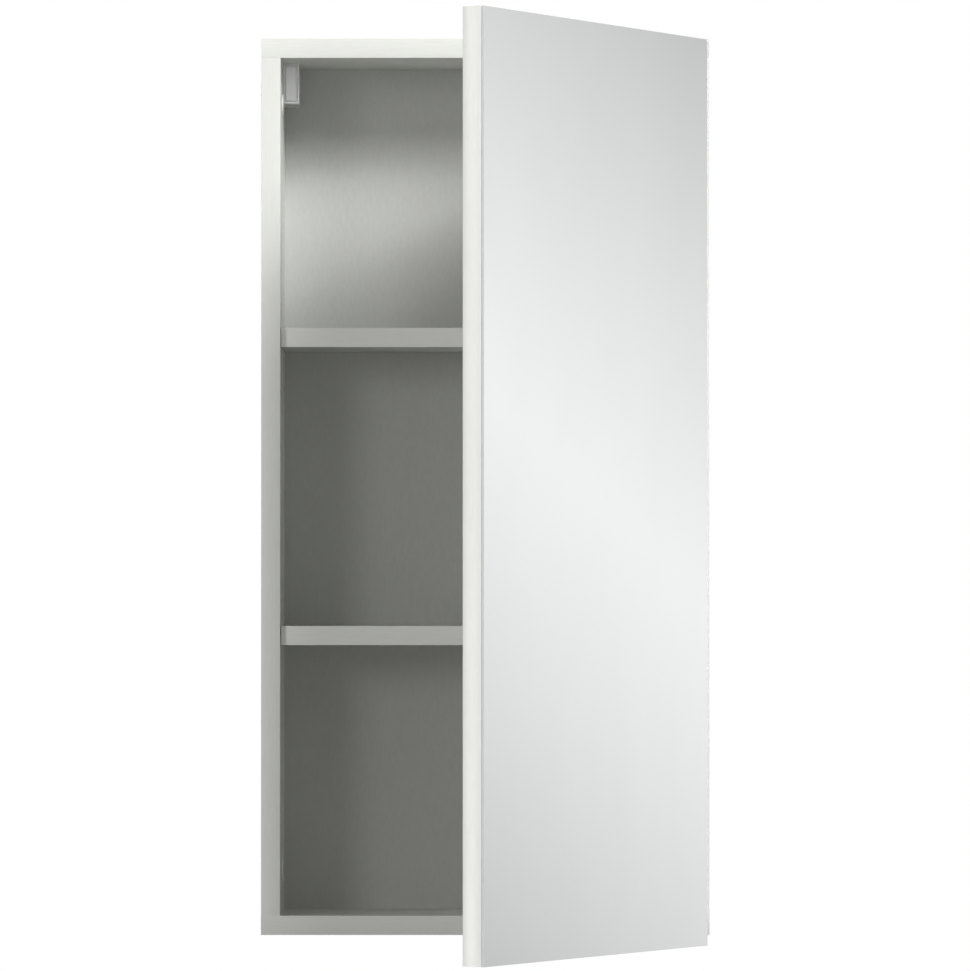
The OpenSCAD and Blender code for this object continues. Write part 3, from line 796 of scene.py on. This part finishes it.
@dataclass
class Hinges:
    """Both concealed hinges: mounting plates, arms, links, cups, and their screws and pins."""

    pressed_arris_mm: float = 0.22
    link_arris_mm: float = 0.2
    screw_arris_mm: float = 0.12

    def build(self) -> None:
        """Builds and dresses every piece of the hinges."""
        for level in ("lower", "upper"):
            for part, arris in (
                ("hinge_plate", self.pressed_arris_mm),
                ("hinge_arm", self.pressed_arris_mm),
                ("outer_link", self.link_arris_mm),
                ("inner_link", self.link_arris_mm),
                ("hinge_cup", self.pressed_arris_mm),
            ):
                self.fitting(f"{part}_{level}", arris, NICKEL, "nickel_steel")
        self.fitting("hinge_plate_screws", self.screw_arris_mm, NICKEL, "nickel_steel")
        for node in ("hinge_arm_screws", "hinge_arm_pins", "hinge_cup_screws", "hinge_cup_pins"):
            self.fitting(node, self.screw_arris_mm, ZINC, "zinc_steel")

    def fitting(self, node: str, arris_mm: float, finish: Finish, slot: str) -> None:
        """Finishes one metal fitting.

        Args:
            node: the CAD node.
            arris_mm: how wide its edges are broken.
            finish: its plating.
            slot: the record's material slot.
        """
        piece = refined_copy(node, arris_mm)
        dress(piece, (finish,))
        place(piece, body_of(node), slot, node)


@dataclass
class Door(Boards):
    """The mirrored door: its board and edging, the adhesive, the mirror and the pads behind it."""

    front_arris_mm: float = 0.12
    back_arris_mm: float = 0.2
    film_arris_mm: float = 0.02
    pad_round_mm: float = 0.8

    def __post_init__(self) -> None:
        """Finds how far the door stands open, from the way the front of the glass looks."""
        normal = max(frame["nodes"]["mirror_glass"].data.polygons, key=lambda p: p.area).normal
        way = normal if normal.y < 0 else -normal
        self.turn = Matrix.Rotation(math.atan2(way.x, -way.y), 4, "Z")
        LOG.info("the door stands open %.2f degrees", math.degrees(self.turn.to_euler().z))

    def build(self) -> None:
        """Builds and dresses every piece of the door."""
        self.board("door_board", "y", MELAMINE, CHIPBOARD, "white_board", self.turn)
        for side, outward, finish in (
            ("left", Vector((-1, 0, 0)), EDGING),
            ("right", Vector((1, 0, 0)), EDGING),
            ("top", Vector((0, 0, 1)), EDGING_ACROSS),
            ("bottom", Vector((0, 0, -1)), EDGING_ACROSS),
        ):
            self.edging(f"door_strip_{side}", outward, finish, self.turn)
        film = refined_copy("mirror_film", self.film_arris_mm, 1)
        dress(film, (ADHESIVE,))
        place(film, "door", "adhesive", "mirror_film")
        self.mirror()
        pads = refined_copy("bumpers", self.pad_round_mm, 4)
        dress(pads, (SOFT_PAD,))
        place(pads, "door", "bumper", "bumpers")

    def mirror(self) -> None:
        """Models the mirror: glass with a ground arris all round, silver in front, paint behind."""
        low, high = local_box("mirror_glass", self.turn)
        piece = block("mirror_glass_finished", low, high)
        bpy.ops.object.mode_set(mode="EDIT")
        for depth, width in ((low.y, self.front_arris_mm), (high.y, self.back_arris_mm)):
            pick(piece, "edges", lambda e, at=depth: all(abs(v.co.y - at) < MERGE for v in e.verts))
            bpy.ops.mesh.bevel(offset=width * MM, segments=1, affect="EDGES", clamp_overlap=True)
        bpy.ops.object.mode_set(mode="OBJECT")
        only(piece)
        piece.matrix_world = self.turn
        bpy.ops.object.transform_apply(location=True, rotation=True, scale=True)
        forward = self.turn.to_3x3() @ FRONT

        def which(face: bpy.types.MeshPolygon) -> int:
            """Gives silver for the front, paint for the back, ground glass for the edges."""
            facing = face.normal.dot(forward)
            if facing > SQUARE_ON:
                return 0
            return 2 if facing < -SQUARE_ON else 1

        dress(piece, (SILVERED_GLASS, GROUND_GLASS, BACKING_PAINT), which)
        place(piece, "door", "mirror", "mirror_glass")


# --------------------------------------------------------------------------------------
# Studio


@dataclass(frozen=True)
class Lamp:
    """A soft studio lamp, aimed at the middle of the cabinet.

    azimuth is in degrees from straight in front, positive to the right, and watts its power.
    """

    name: str
    azimuth: float
    elevation: float
    distance: float
    width: float
    height: float
    watts: float
    colour: str = "#FFFFFF"

    def light(self, aim: Vector) -> None:
        """Adds the lamp.

        Args:
            aim: the point that it looks at.
        """
        across, up = math.radians(self.azimuth), math.radians(self.elevation)
        way = Vector((math.sin(across) * math.cos(up), -math.cos(across) * math.cos(up), math.sin(up)))
        data = bpy.data.lights.new(self.name, "AREA")
        data.shape = "RECTANGLE"
        data.size, data.size_y = self.width, self.height
        data.energy = self.watts
        data.color = linear(self.colour)[:3]
        lamp = bpy.data.objects.new(self.name, data)
        bpy.context.scene.collection.objects.link(lamp)
        lamp.location = aim + way * self.distance
        lamp.rotation_euler = way.to_track_quat("Z", "Y").to_euler()
        lamp.visible_camera = False
        LOG.info("%s: %.0f W at %s", self.name, self.watts, [round(c, 2) for c in lamp.location])


@dataclass
class Studio:
    """White surroundings, a pale floor, soft lamps and the card that the mirror sees."""

    floor_level: float = -0.75
    floor_half: float = 7.0
    ambient: float = 0.079
    surround_gloss: float = 0.6
    card_place: tuple[float, float, float] = (2.25, 0.98, 0.35)
    card_half: float = 1.3
    card_peak: float = 0.992
    card_least: float = 0.35
    card_fall: float = 0.645
    card_fall_power: float = 1.255
    card_slant: float = -0.92
    card_rise: float = 0.04
    camera_place: tuple[float, float, float] = (0.008, -5.310, 0.2684)
    camera_up: float = 0.91
    camera_left: float = 0.09
    lens: float = 245.96
    sensor: float = 36.0
    lamps: tuple[Lamp, ...] = (
        Lamp("key_lamp_high", 40, 38, 4.0, 0.9, 0.9, 60),
        Lamp("key_lamp_right", 45, 30, 4.0, 0.9, 0.9, 49),
        Lamp("key_lamp_front", 30, 32, 4.0, 0.9, 0.9, 25),
        Lamp("stile_lamp", 25, 0, 4.0, 0.9, 0.9, 21),
        Lamp("fill_lamp_low", -60, -8, 4.0, 0.9, 0.9, 36),
        Lamp("fill_lamp_high", -60, 11, 4.0, 0.9, 0.9, 28),
        Lamp("fill_lamp_front", -30, 10, 4.0, 0.9, 0.9, 12),
        Lamp("rear_lamp", 200, 35, 4.0, 2.0, 2.0, 45),
    )

    def build(self) -> None:
        """Builds the surroundings, the lamps and the camera."""
        self.surroundings()
        self.floor()
        self.card()
        low, high = CAD_BOX
        aim = (Vector(low) + Vector(high)) / 2
        for lamp in self.lamps:
            lamp.light(aim)
        self.camera()

    def surroundings(self) -> None:
        """Makes the surroundings white to look at, bright in reflections and dim as a light."""
        world = bpy.data.worlds.new("studio")
        world.use_nodes = True
        tree = world.node_tree
        tree.nodes.clear()
        path = add_node(tree, "ShaderNodeLightPath")
        glossy = add_node(
            tree,
            "ShaderNodeMix",
            {"data_type": "FLOAT"},
            {0: path.outputs["Is Glossy Ray"], 2: self.ambient, 3: self.surround_gloss},
        )
        strength = add_node(
            tree,
            "ShaderNodeMix",
            {"data_type": "FLOAT"},
            {0: path.outputs["Is Camera Ray"], 2: glossy.outputs[0], 3: 1.0},
        )
        light = add_node(
            tree,
            "ShaderNodeBackground",
            inputs={"Color": linear("#FFFFFF"), "Strength": strength.outputs[0]},
        )
        add_node(tree, "ShaderNodeOutputWorld", inputs={"Surface": light.outputs["Background"]})
        scene = bpy.context.scene
        scene.world = world
        scene.view_settings.view_transform = "Standard"
        scene.cycles.use_denoising = True

    def floor(self) -> None:
        """Adds the pale floor, well below the cabinet."""
        bpy.ops.object.select_all(action="DESELECT")
        bpy.ops.mesh.primitive_plane_add(size=2 * self.floor_half, location=(0, 0, self.floor_level))
        ground = bpy.context.object
        ground.name = "studio_floor"
        bpy.ops.object.transform_apply(location=True, rotation=True, scale=True)
        finish = Finish("studio_floor_paint", "#F2F2F0", "#EEEEEC", Pattern.PEBBLE, 4.0, (0.6, 0.7), ior=1.45)
        dress(ground, (finish,))
        ground.visible_diffuse = False

    def card(self) -> None:
        """Adds the glowing card that the mirror reflects, brightest along a slanting band."""
        bpy.ops.object.select_all(action="DESELECT")
        bpy.ops.mesh.primitive_plane_add(size=2 * self.card_half, location=(0, 0, 0))
        card = bpy.context.object
        card.name = "mirror_card"
        place_of = Vector(self.card_place)
        look = Vector((place_of.x, place_of.y, 0)).normalized()
        across = Vector((-look.y, look.x, 0))
        turned = Matrix((across, Vector((0, 0, 1)), across.cross(Vector((0, 0, 1))))).transposed()
        card.matrix_world = Matrix.Translation(place_of) @ turned.to_4x4()
        made = bpy.data.materials.new("glowing_card")
        made.use_nodes = True
        tree = made.node_tree
        tree.nodes.clear()
        coords = add_node(tree, "ShaderNodeTexCoord").outputs["Object"]
        parts = add_node(tree, "ShaderNodeSeparateXYZ", inputs={"Vector": coords})
        slant = add_node(
            tree,
            "ShaderNodeMath",
            {"operation": "MULTIPLY_ADD"},
            {0: parts.outputs["X"], 1: self.card_slant, 2: self.card_rise},
        )
        away = add_node(
            tree, "ShaderNodeMath", {"operation": "SUBTRACT"}, {0: parts.outputs["Y"], 1: slant.outputs[0]}
        )
        far = add_node(tree, "ShaderNodeMath", {"operation": "ABSOLUTE"}, {0: away.outputs[0]})
        bent = add_node(
            tree, "ShaderNodeMath", {"operation": "POWER"}, {0: far.outputs[0], 1: self.card_fall_power}
        )
        loss = add_node(
            tree, "ShaderNodeMath", {"operation": "MULTIPLY"}, {0: bent.outputs[0], 1: self.card_fall}
        )
        level = add_node(
            tree, "ShaderNodeMath", {"operation": "SUBTRACT"}, {0: self.card_peak, 1: loss.outputs[0]}
        )
        kept = add_node(
            tree, "ShaderNodeMath", {"operation": "MAXIMUM"}, {0: level.outputs[0], 1: self.card_least}
        )
        glow = add_node(
            tree, "ShaderNodeEmission", inputs={"Color": linear("#FFFFFF"), "Strength": kept.outputs[0]}
        )
        add_node(tree, "ShaderNodeOutputMaterial", inputs={"Surface": glow.outputs["Emission"]})
        card.data.materials.append(made)
        card.visible_camera = False
        card.visible_shadow = False

    def camera(self) -> None:
        """Adds the camera, a long way off and level with the lower shelf."""
        data = bpy.data.cameras.new("camera")
        data.lens = self.lens
        data.sensor_width = self.sensor
        camera = bpy.data.objects.new("camera", data)
        bpy.context.scene.collection.objects.link(camera)
        camera.location = self.camera_place
        camera.rotation_euler = (math.radians(90 + self.camera_up), 0, math.radians(self.camera_left))
        bpy.context.scene.camera = camera


def main() -> None:
    """Builds the cabinet and its studio."""
    logging.basicConfig(level=logging.INFO, format="%(name)s: %(message)s")
    for assembly in (Carcass(), WallHanging(), Hinges(), Door(), Studio()):
        LOG.info("building %s", type(assembly).__name__)
        assembly.build()


if __name__ == "__main__":
    main()
